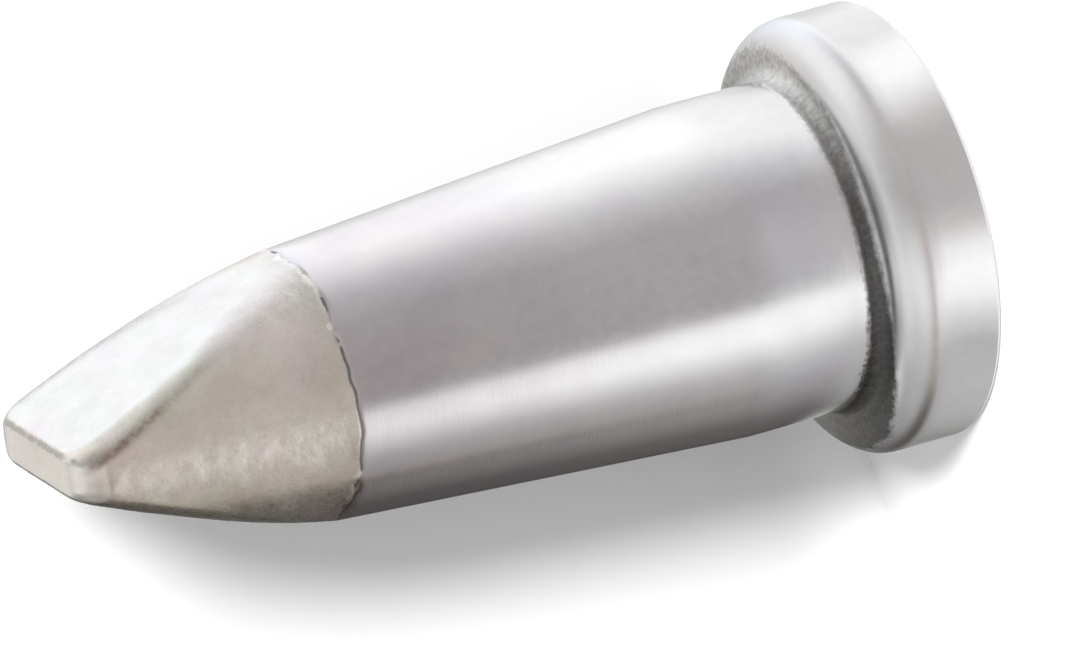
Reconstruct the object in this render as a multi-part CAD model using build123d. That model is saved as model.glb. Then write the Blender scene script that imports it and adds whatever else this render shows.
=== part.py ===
from build123d import *
from math import atan, degrees, hypot, radians, tan
import os

# Soldering iron tip, chisel form, turned from one copper blank and plated. Millimetres.
# Frame: the origin is the centre of the flange's rear face. +Z runs along the axis to the
# chisel end. The blade is wide along X and thin along Y.

# Flange at the rear, which a retaining sleeve presses against the heater
FLANGE_RADIUS = 4.0
FLANGE_THICKNESS = 1.8
FLANGE_REAR_EDGE = 0.1           # small rounding of the rear edge
FLANGE_FRONT_EDGE = 0.6          # large soft rounding of the front edge
INNER_CORNER = 0.3               # hollow rounding where the shank meets the flange

# Shank: a parallel land, then a slow taper as far as the edge of the plating
SHANK_RADIUS = 3.03
LAND_LENGTH = 2.1                # parallel stretch in front of the flange
TAPER_LENGTH = 7.9               # from the land to the plating edge
SEAM_RADIUS = 2.46               # radius at the plating edge
LAND_BLEND = 12.0                # long soft curve between land and taper

# Working end: a steeper cone, cut to a chisel by two flats
WORKING_LENGTH = 5.15            # from the plating edge to the end face
WORKING_BLEND = 4.0              # curve between the taper and the working cone
BLADE_WIDTH = 3.55               # across the blade's corners before they are rounded
BLADE_THICKNESS = 0.8
BLADE_CORNER = 0.65              # large rounding of the blade's corners, seen along Y
FLAT_ANGLE = 23.0                # of each flat to the axis, in degrees
FLAT_EDGE = 0.2                  # rounding all round each flat, along its ridges and its end

# Fine groove where the plating of the shank stops
GROOVE_WIDTH = 0.12
GROOVE_DEPTH = 0.035

# Blind bore in the rear, which slides onto the heater's nose
BORE_RADIUS = 2.0
BORE_DEPTH = 9.0                 # to the end of the cylindrical wall
DRILL_POINT_ANGLE = 118.0        # full angle of the cone at the bore's bottom
BORE_CHAMFER = 0.3

# Heights along the axis that follow from the sizes above
LAND_END = FLANGE_THICKNESS + LAND_LENGTH
SEAM_Z = LAND_END + TAPER_LENGTH
END_Z = SEAM_Z + WORKING_LENGTH

# The working cone ends in the circle through the blade's four corners, before their rounding.
END_RADIUS = hypot(BLADE_WIDTH, BLADE_THICKNESS) / 2

# Both roundings of the shoulder lie on its step, so each is limited to its part of the step.
SHOULDER_STEP = FLANGE_RADIUS - SHANK_RADIUS
FRONT_EDGE_LIMIT = 0.64 * SHOULDER_STEP
INNER_CORNER_LIMIT = 0.34 * SHOULDER_STEP


def corner(sketch, radius, height):
    """The sketch's vertex nearest to a radius and a height."""
    return sketch.vertices().sort_by_distance(Vector(radius, 0, height))[0]


def turned_body():
    """The outline from the flange to the end face, with its rounded corners, turned on +Z.

    The last corner, of the nose, leaves the blade's corners rounded once the flats are cut.
    """
    outline = [
        (0, 0),
        (FLANGE_RADIUS, 0),
        (FLANGE_RADIUS, FLANGE_THICKNESS),
        (SHANK_RADIUS, FLANGE_THICKNESS),
        (SHANK_RADIUS, LAND_END),
        (SEAM_RADIUS, SEAM_Z),
        (END_RADIUS, END_Z),
        (0, END_Z),
    ]
    rounded = [
        (FLANGE_RADIUS, 0, FLANGE_REAR_EDGE),
        (FLANGE_RADIUS, FLANGE_THICKNESS, min(FLANGE_FRONT_EDGE, FRONT_EDGE_LIMIT)),
        (SHANK_RADIUS, FLANGE_THICKNESS, min(INNER_CORNER, INNER_CORNER_LIMIT)),
        (SHANK_RADIUS, LAND_END, LAND_BLEND),
        (SEAM_RADIUS, SEAM_Z, WORKING_BLEND),
        (END_RADIUS, END_Z, BLADE_CORNER),
    ]
    with BuildSketch(Plane.XZ) as half:
        with BuildLine():
            Polyline(*outline, close=True)
        make_face()
    section = half.sketch
    for radius, height, rounding in rounded:
        section = fillet(corner(section, radius, height), rounding)
    return revolve(section, Axis.Z)


def plating_groove():
    """A shallow V ring that marks where the plating of the shank stops."""
    outside = SEAM_RADIUS + GROOVE_WIDTH
    with BuildSketch(Plane.XZ) as vee:
        with BuildLine():
            Polyline(
                (SEAM_RADIUS - GROOVE_DEPTH, SEAM_Z),
                (outside, SEAM_Z - GROOVE_WIDTH),
                (outside, SEAM_Z + GROOVE_WIDTH),
                close=True,
            )
        make_face()
    return revolve(vee.sketch, Axis.Z)


def chisel_waste(side):
    """The wedge that is ground away on one side of the blade. side is +1 or -1 along Y."""
    reach = FLANGE_RADIUS
    half_thickness = BLADE_THICKNESS / 2
    run = (reach - half_thickness) / tan(radians(FLAT_ANGLE))
    beyond = END_Z + BLADE_THICKNESS
    inner = half_thickness - BLADE_THICKNESS * tan(radians(FLAT_ANGLE))
    with BuildSketch(Plane.YZ) as wedge:
        with BuildLine():
            Polyline(
                (side * inner, beyond),
                (side * reach, END_Z - run),
                (side * reach, beyond),
                close=True,
            )
        make_face()
    return extrude(wedge.sketch, amount=reach, both=True)


def heater_bore():
    """The blind bore with its drill point and chamfered mouth, turned on +Z."""
    point = BORE_RADIUS / tan(radians(DRILL_POINT_ANGLE / 2))
    with BuildSketch(Plane.XZ) as half:
        with BuildLine():
            Polyline(
                (0, 0),
                (BORE_RADIUS + BORE_CHAMFER, 0),
                (BORE_RADIUS, BORE_CHAMFER),
                (BORE_RADIUS, BORE_DEPTH),
                (0, BORE_DEPTH + point),
                close=True,
            )
        make_face()
    return revolve(half.sketch, Axis.Z)


def flat_outlines(body):
    """The closed line round each flat: its two ridges and its edge with the end face."""
    planes = body.faces().filter_by(GeomType.PLANE)
    flats = [face for face in planes if abs(face.normal_at().Y) > abs(face.normal_at().Z)]
    return ShapeList(edge for face in flats for edge in face.edges())


def soldering_tip():
    body = turned_body() - plating_groove()
    for side in (1, -1):
        body -= chisel_waste(side)
    body = fillet(flat_outlines(body), FLAT_EDGE)
    return body - heater_bore()


os.makedirs("parts", exist_ok=True)
tip = soldering_tip()
export_step(tip, "parts/soldering_tip.step")

shank_slope = degrees(atan((SHANK_RADIUS - SEAM_RADIUS) / TAPER_LENGTH))
print("overall length", round(END_Z, 3), "shank taper", round(shank_slope, 2), "degrees")
print("volume", round(tip.volume, 2), "cubic mm")
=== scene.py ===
"""Soldering iron tip in a plain white studio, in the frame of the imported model.

The scene is in metres, and the sizes below are in millimetres unless their comment says
otherwise. The tip stands on its flange with +Z along its axis. Its blade is wide along X
and thin along Y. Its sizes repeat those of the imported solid, so that the detailed surface
lies on it. A way round the tip is given from the side that faces the camera, with plus
towards the lower side of the frame.
"""
from math import atan, cos, hypot, pi, radians, sin, tan
import bpy
import numpy as np
from mathutils import Matrix, Vector


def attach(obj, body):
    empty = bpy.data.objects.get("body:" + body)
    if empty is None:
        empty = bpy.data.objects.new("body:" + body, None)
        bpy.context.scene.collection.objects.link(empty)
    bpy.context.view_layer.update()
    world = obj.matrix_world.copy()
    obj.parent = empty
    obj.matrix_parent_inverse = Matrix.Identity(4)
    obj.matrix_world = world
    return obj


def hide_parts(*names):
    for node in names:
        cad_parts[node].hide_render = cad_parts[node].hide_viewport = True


MM = 0.001
NODE = "soldering_tip"

# Sizes of the tip
FLANGE_RADIUS = 4.0
FLANGE_THICKNESS = 1.8
FLANGE_REAR_EDGE = 0.1
FLANGE_FRONT_EDGE = 0.6
INNER_CORNER = 0.3
SHANK_RADIUS = 3.03
LAND_END = 3.9
LAND_BLEND = 12.0
SEAM_RADIUS = 2.46
SEAM_Z = 11.8
WORKING_BLEND = 4.0
END_Z = 16.95
BLADE_WIDTH = 3.55               # across the blade's corners before they are rounded
BLADE_THICKNESS = 0.8
BLADE_CORNER = 0.65              # large rounding of those corners, seen along Y
FLAT_ANGLE = radians(23.0)
RIDGE_ROUNDING = 0.28
BLADE_RIDGE_ROUNDING = 0.36      # the tinning rounds the ridges more towards the blade
RIDGES_GROW = 3.5                # over this stretch behind the end face
END_LINE_ROUNDING = 0.12         # of the lines where the flats meet the end face
BORE_RADIUS = 2.0
BORE_DEPTH = 9.0
BORE_CHAMFER = 0.3
BORE_POINT = BORE_RADIUS / tan(radians(118 / 2))
BROKEN_EDGE = 0.03               # tiny rounding of the turned edges of the bore

# Slopes of the turned wall and of the flats
END_RADIUS = hypot(BLADE_WIDTH, BLADE_THICKNESS) / 2
TAPER_SLOPE = (SHANK_RADIUS - SEAM_RADIUS) / (SEAM_Z - LAND_END)
CONE_SLOPE = (SEAM_RADIUS - END_RADIUS) / (END_Z - SEAM_Z)
FLAT_SLOPE = tan(FLAT_ANGLE)

# Grid of the surface: columns round the axis, the spacing of its rows, and the places of the
# rows on each side of the seam
COLUMNS = 376
TAPER_STEP = 0.4
CONE_STEP = 0.075
SEAM_ROWS = (0.012, 0.025, 0.04, 0.06, 0.085, 0.12, 0.16, 0.22, 0.3)

# The end's rows fan out from a point on the axis this far behind the end face. Their climb
# goes from one angle to another in degrees, in this many steps.
FAN_BACK = 0.6
FAN_STEPS = ((0, 60, 50), (60, 90, 8))

# The search for each point of the surface starts between the axis and this radius, which
# is past the wall, and halves the stretch this many times
SEARCH_RADIUS = SHANK_RADIUS + 1
HALVINGS = 30

# The seam, where the shank's plating stops: a ragged fine groove
SEAM_DEPTH = 0.005
SEAM_HALF_WIDTH = 0.03
SEAM_SWAY = 0.03                 # how far it strays from its circle
SEAM_FINE_SWAY = 0.5             # share of that in its fine wobble
SEAM_WOBBLES = (40, 7)           # most waves round the axis, of the fine and the broad one
SEAM_BULGE = (75, 16, 0.2)       # way round and half width in degrees, and height
SEAM_BEND = 1.2                  # rows that are nearer to it than this bend with it
FAR_BEHIND = -9                  # distance ahead of it that the flange and bore are given

# Soft lumps of the tinned end
TIN_DEPTH = 0.006                # of their mean level under the solid's surface
TIN_SWING = 0.45                 # how much that depth varies, as a share of it
BROAD_LUMPS = 1.1                # size of the broad ones, and of the fine ones
FINE_LUMPS = 0.42
FINE_LUMPS_SHARE = 0.6
TIN_GROWS = 0.2                  # distance from the seam over which they grow

# Flux residue with painted shade under two of the ridges
RESIDUE_FROM = 15.2              # height round which it starts
RESIDUE_GROWS = ((-1.8, -0.6), (-0.5, 0.5))  # from there, it grows by halves over these
RESIDUE_DEPTH = 0.195            # behind the flat's plane at that height
RESIDUE_DRIFT = 0.06             # how much deeper it gets per millimetre
RESIDUE_HALF_WIDTH = 0.08

# Beside the other two ridges the residue and its painted shade lie on the flat
FAR_LINE_DEPTH = 0.2             # behind the turned wall
FAR_LINE_HALF_WIDTH = 0.12
FAR_LINE_FADE = (12.8, 14.4)     # heights between which it fades in

# Strength of the residue and its painted shade on the ridge that faces the camera, on the
# opposite one and on the other two
RESIDUE_STRENGTHS = (1.0, 0.45, 0.5)
RESIDUE_ENDS = (0.25, 0.55)      # part of the way round the end over which it fades out
RESIDUE_SUNK = 0.008             # how deep it is sunk into the surface

# Fine line along the end face's long edges
END_LINE_HALF_WIDTH = 0.07
END_LINE_FADE = (0.55, 0.95)     # part of the way round the end over which it fades in
END_LINE_SUNK = 0.010            # how deep it is sunk into the surface

# Small dark marks near the blade's corner, and one broad painted shade over it: place, half
# sizes along X, Y and Z, and shade
CORNER_SPOTS_AND_SHADE = (
    ((1.49, 0.35, 16.82), (0.06, 0.05, 0.05), 0.9),
    ((1.85, -0.09, 16.45), (0.10, 0.16, 0.035), 0.35),
    # This broad one is painted shade, which darkens the tin over the blade's corner
    ((1.80, -0.10, 16.50), (0.28, 0.35, 0.24), 0.85),
    ((1.68, 0.42, 16.38), (0.16, 0.12, 0.35), 0.50),
)

# Pits and beads on the seam: way round in degrees, height over the seam, half length, half
# width, relief (plus is a bead), and tone (plus is dark, minus is pale)
SEAM_MARKS = (
    (-77, 0.00, 0.20, 0.035, -0.012, 0.85),
    (-69, 0.08, 0.16, 0.070, 0.006, -0.7),
    (-61, 0.02, 0.14, 0.030, -0.006, 0.50),
    (-50, 0.03, 0.12, 0.040, -0.006, 0.50),
    (-44, 0.08, 0.22, 0.080, 0.006, -0.6),
    (-31, 0.00, 0.23, 0.045, -0.012, 0.95),
    (-20, 0.05, 0.08, 0.060, 0.008, -0.8),
    (-14, 0.00, 0.08, 0.040, -0.010, 0.75),
    (47, 0.05, 0.12, 0.070, 0.008, -0.9),
    (53, 0.01, 0.13, 0.060, -0.014, 1.0),
    (60, 0.10, 0.10, 0.060, 0.006, -0.6),
    (67, 0.05, 0.10, 0.050, -0.010, 0.8),
)
HIDDEN_WAYS = range(92, 276, 13)  # about where those of the hidden side lie, in degrees

# Strength of the groove, from 0 to 1. It is fine, even and dark on its clean stretch, and
# partly filled elsewhere.
CLEAN_STRETCH = (-11, 45)        # ways round in degrees
CLEAN_EDGE = radians(2)
CLEAN_STRENGTH = 0.95
FILLED_STRENGTH = 0.2            # mean of its strength elsewhere, and how much that varies
FILLED_SWING = 0.25
FILLED_WAVES = 30
FILLED_LIMITS = (0.03, 0.45)

# The hollow corner in front of the flange is dull, and darkened by painted shade. By way
# round in degrees: the dull band's width along the surface in millimetres, and the lightness
# of its metal, which is painted shade: lighter on the upper side of the frame, where the
# light falls, and darkest from the camera's side round to the lower side
DULL_AND_SHADED_CORNER = (
    (-180, 0.90, 0.50),
    (-110, 0.92, 0.55),
    (-90, 0.85, 0.62),
    (-70, 0.66, 0.68),
    (-52, 0.50, 0.50),
    (-38, 0.46, 0.37),
    (-22, 0.37, 0.25),
    (-8, 0.31, 0.15),
    (10, 0.32, 0.13),
    (30, 0.42, 0.11),
    (48, 0.64, 0.12),
    (62, 0.84, 0.13),
    (76, 1.00, 0.15),
    (92, 1.10, 0.19),
    (120, 1.05, 0.30),
    (180, 0.90, 0.50),
)
DULL_START = 0.06                # how far onto the shank the band starts

# Camera. The frame's width and the focal length are in the photograph's pixels.
FRAME_WIDTH = 1080
FOCAL_LENGTH = 15000.0
SENSOR_WIDTH = 36.0
CAMERA_DISTANCE = 267.3          # from the lens to the flange's rear centre
FLANGE_RIGHT = 6.343             # of that centre, right of and above the frame's middle
FLANGE_ABOVE = 1.894
AXIS_ROLL = radians(15.73)       # fall of the axis towards the tip, in the frame
AXIS_LEAN = radians(21.93)       # lean of the axis towards the lens
BLADE_TURN = radians(69.3)       # turn of the blade about the axis
CAMERA_SIDE = pi / 2 - BLADE_TURN  # angle from +X of the side that faces the camera

# Paper of the studio
SHEET_HALF_SIZE = 600
BACKDROP_BEHIND = 4.1            # distance of the backdrop from the tip's axis
FLOOR_LIGHTNESS = 0.7
BACKDROP_LIGHTNESS = 0.53        # at its foot it is as light as the floor
BACKDROP_FADE = 2.2              # height at which it has its own lightness

# Sun that throws the tip's soft shadow on the paper, in degrees
SUN_RIGHT = 21.0                 # how far its rays lean to the right in the frame
SUN_DOWN = 14.5                  # and down
SUN_WIDTH = 14.0
SUN_STRENGTH = 4.5


def rounded_outline(corners):
    """The profile through corners (radius, height, rounding, spacing), as one open path.

    Each corner is cut by an arc tangent to both of its sides, and each straight stretch
    is divided evenly by the spacing of the corner that it starts from. Large arcs get a
    step at least every 5 degrees, and broken edges every 15.
    """
    points = [np.array(corners[0][:2], float)]
    spots_and_shade = np.array([corner[:2] for corner in corners], float)
    for index in range(1, len(corners)):
        start = points[-1]
        spacing = corners[index - 1][3]
        corner = spots_and_shade[index]
        rounding = corners[index][2]
        if rounding == 0:
            stop = corner
        else:
            back = (spots_and_shade[index - 1] - corner) / np.linalg.norm(spots_and_shade[index - 1] - corner)
            ahead = (spots_and_shade[index + 1] - corner) / np.linalg.norm(spots_and_shade[index + 1] - corner)
            half = np.arccos(np.clip(back @ ahead, -1, 1)) / 2
            stop = corner + back * rounding / np.tan(half)
        count = max(1, int(round(np.linalg.norm(stop - start) / spacing)))
        for share in np.arange(1, count + 1) / count:
            points.append(start + (stop - start) * share)
        if rounding == 0:
            continue
        middle = corner + (back + ahead) / np.linalg.norm(back + ahead) * rounding / np.sin(half)
        first = stop - middle
        turn = pi - 2 * half
        sense = np.sign(first[1] * back[0] - first[0] * back[1])
        step = radians(5 if rounding > BROKEN_EDGE else 15)
        count = int(np.ceil(turn / step))
        for angle in sense * turn * np.arange(1, count + 1) / count:
            points.append(middle + np.array([
                first[0] * cos(angle) - first[1] * sin(angle),
                first[0] * sin(angle) + first[1] * cos(angle),
            ]))
    return np.array(points)


def wall_radius(z):
    """Radius of the turned wall in front of the shoulder at height z, in millimetres.

    A parallel land, a taper and a steeper cone, each corner between them eased by an arc,
    whose fall below the corner is the square of the way into it over twice its radius.
    """
    radius = SHANK_RADIUS - TAPER_SLOPE * np.maximum(z - LAND_END, 0)
    radius = radius - (CONE_SLOPE - TAPER_SLOPE) * np.maximum(z - SEAM_Z, 0)
    for corner, bend, rounding in (
        (LAND_END, atan(TAPER_SLOPE), LAND_BLEND),
        (SEAM_Z, atan(CONE_SLOPE) - atan(TAPER_SLOPE), WORKING_BLEND),
    ):
        reach = rounding * tan(bend / 2)
        inside = np.maximum(reach - np.abs(z - corner), 0)
        radius = radius - inside ** 2 / (2 * rounding)
    return radius


def smooth_step(low, high, value):
    """0 below low, 1 above high, and an S curve between."""
    share = np.clip((value - low) / (high - low), 0, 1)
    return share * share * (3 - 2 * share)


def hump(distance, half_width):
    """A bell: 1 at distance 0, and e to the power of minus one at half_width."""
    return np.exp(-(distance / half_width) ** 2)


def ridge_rounding(z):
    """Rounding of the ridges, which grows along an S curve towards the end face."""
    grown = smooth_step(END_Z - RIDGES_GROW, END_Z, z)
    return RIDGE_ROUNDING + (BLADE_RIDGE_ROUNDING - RIDGE_ROUNDING) * grown


def meeting(first, second, rounding):
    """Distance outside two walls that meet in a rounded edge, from those outside each.

    It is the hypotenuse of the distances past the two lines where the rounding starts,
    less the rounding.
    """
    first = first + rounding
    second = second + rounding
    beyond = np.hypot(np.maximum(first, 0), np.maximum(second, 0))
    return beyond + np.minimum(np.maximum(first, second), 0) - rounding


def off_walls(x, y, z):
    """How far points are outside the turned wall with its rounded end, and outside the
    plane of the nearer flat, and how far round that end they lie, from 0 to 1."""
    off_side = (np.hypot(x, y) - wall_radius(z)) * cos(atan(CONE_SLOPE))
    off_end = z - END_Z
    turned = meeting(off_side, off_end, BLADE_CORNER)
    flat = BLADE_THICKNESS / 2 + FLAT_SLOPE * (END_Z - z)
    ground = (np.abs(y) - flat) * cos(FLAT_ANGLE)
    past_side = np.maximum(off_side + BLADE_CORNER, 1e-9)
    past_end = np.maximum(off_end + BLADE_CORNER, 0)
    return turned, ground, np.arctan2(past_end, past_side) / (pi / 2)


def find_surface(start, tilt, angle, inset):
    """Points where rays leave the tip, moved in by inset.

    Each ray starts on the axis at height start and climbs by tilt. The place where it is
    as far inside as the inset is found by halving, for all rays at once. The ridges' own
    rounding shrinks to that of the end lines round the blade's corners.
    """
    low = np.zeros_like(start + tilt + angle)
    high = low + SEARCH_RADIUS
    for _ in range(HALVINGS):
        middle = (low + high) / 2
        radius = middle * np.cos(tilt)
        height = start + middle * np.sin(tilt)
        turned, ground, round_end = off_walls(
            radius * np.cos(angle), radius * np.sin(angle), height,
        )
        share = smooth_step(0, 1, round_end)
        rounding = ridge_rounding(height) * (1 - share) + END_LINE_ROUNDING * share
        outside = meeting(turned, ground, rounding) > -inset
        high = np.where(outside, middle, high)
        low = np.where(outside, low, middle)
    return on_surface(low * np.cos(tilt), angle, start + low * np.sin(tilt))


def waves(points, size, seed, count=28):
    """Smooth random relief between about -1 and 1: a sum of cosines in random directions,
    whose wavelengths lie round the given size in millimetres."""
    random = np.random.default_rng(seed)
    directions = random.normal(size=(count, 3))
    directions /= np.linalg.norm(directions, axis=1)[:, None]
    lengths = size * random.uniform(0.7, 1.5, count)
    phases = random.uniform(0, 2 * pi, count)
    total = np.zeros(points.shape[:-1])
    for direction, length, phase in zip(directions, lengths, phases):
        total += np.cos(points @ direction * (2 * pi / length) + phase)
    return total / np.sqrt(count)


def ring_noise(angle, cycles, seed):
    """Smooth random value between about -1 and 1 round the axis, which closes on itself:
    cosines of whole multiples of the angle, of random strength and phase, over the root of
    their number."""
    random = np.random.default_rng(seed)
    total = np.zeros_like(angle)
    weight = 1 / np.sqrt(cycles)
    for cycle in range(1, cycles + 1):
        total += weight * random.normal() * np.cos(cycle * angle + random.uniform(0, 2 * pi))
    return total


def way_from(angle, degrees):
    """How far round an angle from +X lies from a way round in degrees, in radians, between
    minus and plus half a turn."""
    return (CAMERA_SIDE - angle - radians(degrees) + pi) % (2 * pi) - pi


def seam_line(angle):
    """Height of the seam over its circle: a fine and a broad sway and one bulge."""
    way, half_width, height = SEAM_BULGE
    fine_waves, broad_waves = SEAM_WOBBLES
    fine = SEAM_FINE_SWAY * SEAM_SWAY * ring_noise(angle, fine_waves, 5)
    broad = SEAM_SWAY * ring_noise(angle, broad_waves, 11)
    return fine + broad + height * hump(way_from(angle, way), radians(half_width))


def hidden_marks():
    """Marks like those of SEAM_MARKS on the side that the photograph doesn't show."""
    random = np.random.default_rng(23)
    marks = []
    for way in HIDDEN_WAYS:
        dark = random.random() < 0.6
        marks.append((
            way + random.uniform(-4, 4),
            random.uniform(-0.01, 0.03) + (0 if dark else 0.04),
            random.uniform(0.07, 0.22),
            random.uniform(0.035, 0.065),
            -0.018 if dark else 0.007,
            random.uniform(0.6, 1) if dark else -0.7,
        ))
    return marks


def seam_relief(angle, ahead):
    """Relief and tone at a height ahead of the seam's line, in millimetres, and how strong
    the groove is there.

    A groove shaped as a bell across the line, deep on its clean stretch and partly filled
    elsewhere, plus a bell in both directions for each pit and bead.
    """
    low, high = CLEAN_STRETCH
    middle = (low + high) / 2
    beside = np.abs(way_from(angle, middle)) - radians((high - low) / 2)
    clean = 1 - smooth_step(-CLEAN_EDGE, CLEAN_EDGE, beside)
    filled = FILLED_STRENGTH + FILLED_SWING * ring_noise(angle, FILLED_WAVES, 7)
    filled = np.clip(filled, *FILLED_LIMITS)
    strength = np.maximum(clean * CLEAN_STRENGTH, filled * (1 - clean))
    relief = -SEAM_DEPTH * strength * hump(ahead, SEAM_HALF_WIDTH)
    tone = np.zeros_like(relief)
    for way, over, half_length, half_width, height, shade in (*SEAM_MARKS, *hidden_marks()):
        along = hump(way_from(angle, way) * SEAM_RADIUS, half_length)
        mark = along * hump(ahead - over, half_width)
        relief = relief + height * mark
        tone = tone + shade * mark
    return relief, tone, strength


def tin_relief(points, ahead):
    """Depth under the solid's surface of the tinned end: broad and fine soft lumps, which
    start at the seam."""
    lumps = waves(points, BROAD_LUMPS, 3) + FINE_LUMPS_SHARE * waves(points, FINE_LUMPS, 4)
    depth = TIN_DEPTH * (1 - TIN_SWING * lumps)
    return depth * smooth_step(0, TIN_GROWS, ahead)


def rear_profile():
    """Radius and height of the rows from the bore's point, round the flange, to the land.

    Each corner's last number is the spacing of the rows that follow it.
    """
    return rounded_outline([
        (0.0, BORE_DEPTH + BORE_POINT, 0, 0.3),
        (BORE_RADIUS, BORE_DEPTH, BROKEN_EDGE, 0.6),
        (BORE_RADIUS, BORE_CHAMFER, BROKEN_EDGE, 0.15),
        (BORE_RADIUS + BORE_CHAMFER, 0, BROKEN_EDGE, 0.3),
        (FLANGE_RADIUS, 0, FLANGE_REAR_EDGE, 0.3),
        (FLANGE_RADIUS, FLANGE_THICKNESS, FLANGE_FRONT_EDGE, 0.04),
        (SHANK_RADIUS, FLANGE_THICKNESS, INNER_CORNER, 0.3),
        (SHANK_RADIUS, LAND_END, 0, 0.3),
    ])


def wall_rows():
    """Height and climb of the rays of each row from the land to the end face's middle, and
    the number of the seam's row."""
    seam = np.array([*(-np.array(SEAM_ROWS))[::-1], 0, *SEAM_ROWS]) + SEAM_Z
    taper_count = int((seam[0] - LAND_END) / TAPER_STEP)
    taper = np.linspace(LAND_END, seam[0], taper_count + 1)[1:-1]
    hub = END_Z - FAN_BACK
    cone_count = int((hub - seam[-1]) / CONE_STEP)
    cone = np.linspace(seam[-1], hub, cone_count + 1)[1:]
    level = np.concatenate([taper, seam, cone])
    fan = np.radians(np.concatenate([
        np.linspace(low, high, count + 1)[1:] for low, high, count in FAN_STEPS
    ]))
    start = np.concatenate([level, np.full(len(fan), hub)])
    tilt = np.concatenate([np.zeros(len(level)), fan])
    return start, tilt, len(taper) + len(SEAM_ROWS)


def on_surface(radius, angle, height):
    """Points of the grid from their radius, angle and height."""
    return np.stack([radius * np.cos(angle), radius * np.sin(angle), height], -1)


def stains(points):
    """Flux residue with painted shade under the ridges, the fine line along the end face's long
    edges, and small dark marks near the blade's corner with one broad painted shade, each from
    0 to 1.

    The residue is a bell across a line that runs at a slowly growing depth behind the
    flat's plane. Beside two of the ridges it lies on the flat, at an even depth behind the
    turned wall. The end line is a bell where the flat and the end face are equally far.
    """
    x, y, z = np.moveaxis(points, -1, 0)
    turned, ground, round_end = off_walls(x, y, z)
    depth = RESIDUE_DEPTH + RESIDUE_DRIFT * (z - RESIDUE_FROM)
    residue = hump(ground + depth, RESIDUE_HALF_WIDTH) * sum(
        smooth_step(RESIDUE_FROM + low, RESIDUE_FROM + high, z) / len(RESIDUE_GROWS)
        for low, high in RESIDUE_GROWS
    )
    on_flat = hump(turned + FAR_LINE_DEPTH, FAR_LINE_HALF_WIDTH)
    on_flat = on_flat * hump(ground, FAR_LINE_HALF_WIDTH)
    on_flat = on_flat * smooth_step(*FAR_LINE_FADE, z)
    residue = np.where(x * y > 0, residue, on_flat) * (1 - smooth_step(*RESIDUE_ENDS, round_end))
    most, opposite, rest = RESIDUE_STRENGTHS
    strength = np.where(x * y > 0, np.where(x > 0, most, opposite), rest)
    line = hump(turned - ground, END_LINE_HALF_WIDTH) * smooth_step(*END_LINE_FADE, round_end)
    spots_and_shade = np.zeros_like(x)
    for place, half_size, shade in CORNER_SPOTS_AND_SHADE:
        off = np.linalg.norm((points - np.array(place)) / np.array(half_size), axis=-1)
        spots_and_shade = np.maximum(spots_and_shade, shade * hump(off, 1))
    return residue * strength, line, spots_and_shade


def tip_surface():
    """The whole outside and the bore as one closed grid of points, in millimetres, with
    the values that the materials read at each point, and the numbers of the rows where
    the finish changes."""
    angle = np.linspace(0, 2 * pi, COLUMNS, endpoint=False)[None, :]
    rear = rear_profile()
    ones = np.ones((1, COLUMNS))
    rear_points = on_surface(rear[:, :1] * ones, angle + 0 * rear[:, :1], rear[:, 1:] * ones)

    # Way along the surface, outwards from where the shank meets the hollow corner
    steps = np.linalg.norm(np.diff(rear, axis=0), axis=1)
    travel = np.concatenate([[0], np.cumsum(steps)])
    meets = np.argmin(np.hypot(
        rear[:, 0] - SHANK_RADIUS, rear[:, 1] - FLANGE_THICKNESS - INNER_CORNER,
    ))
    # The dull band's width, and its lightness, which is painted shade in the hollow corner
    ways, widths, tones = np.array(DULL_AND_SHADED_CORNER).T
    way = np.degrees(way_from(angle, 0))
    dull_width = np.interp(way, ways, widths) + DULL_START
    in_corner = ((travel[meets] - travel)[:, None] + DULL_START) / dull_width

    # Rows near the seam bend with it. The relief moves the surface in or out.
    rows, tilt, seam_row = wall_rows()
    line = seam_line(angle)
    near = np.clip(1 - np.abs(rows - SEAM_Z) / SEAM_BEND, 0, 1)[:, None]
    start = rows[:, None] + line * near
    tilt = tilt[:, None]
    plain = find_surface(start, tilt, angle, 0)
    ahead = plain[..., 2] - SEAM_Z - line
    relief, tone, strength = seam_relief(angle, ahead)
    residue, end_line, spots_and_shade = stains(plain)
    inset = tin_relief(plain, ahead) - relief + RESIDUE_SUNK * residue + END_LINE_SUNK * end_line
    points = np.concatenate([rear_points, find_surface(start, tilt, angle, inset)])

    def joined(on_rear, on_wall):
        """Values of the rear rows, or one for all of them, followed by those of the rest."""
        return np.concatenate([on_rear + np.zeros(rear_points.shape[:2]), on_wall + 0 * ahead])

    values = {
        "dull_corner": joined(in_corner, -1),
        "dull_width": joined(dull_width, 1),
        "dull_painted_shade_tone": joined(np.interp(way, ways, tones), 0),
        "ahead_of_seam": joined(FAR_BEHIND, ahead),
        "seam_tone": joined(0, tone),
        "seam_strength": joined(0, strength),
        "ridge_stain_and_shade": joined(0, residue),
        "end_line": joined(0, end_line),
        "corner_spots_and_shade": joined(0, spots_and_shade),
    }
    mouth_row = int(np.argmax(rear[:, 0] > BORE_RADIUS + BORE_CHAMFER))
    return points, values, mouth_row, len(rear) + seam_row


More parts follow.
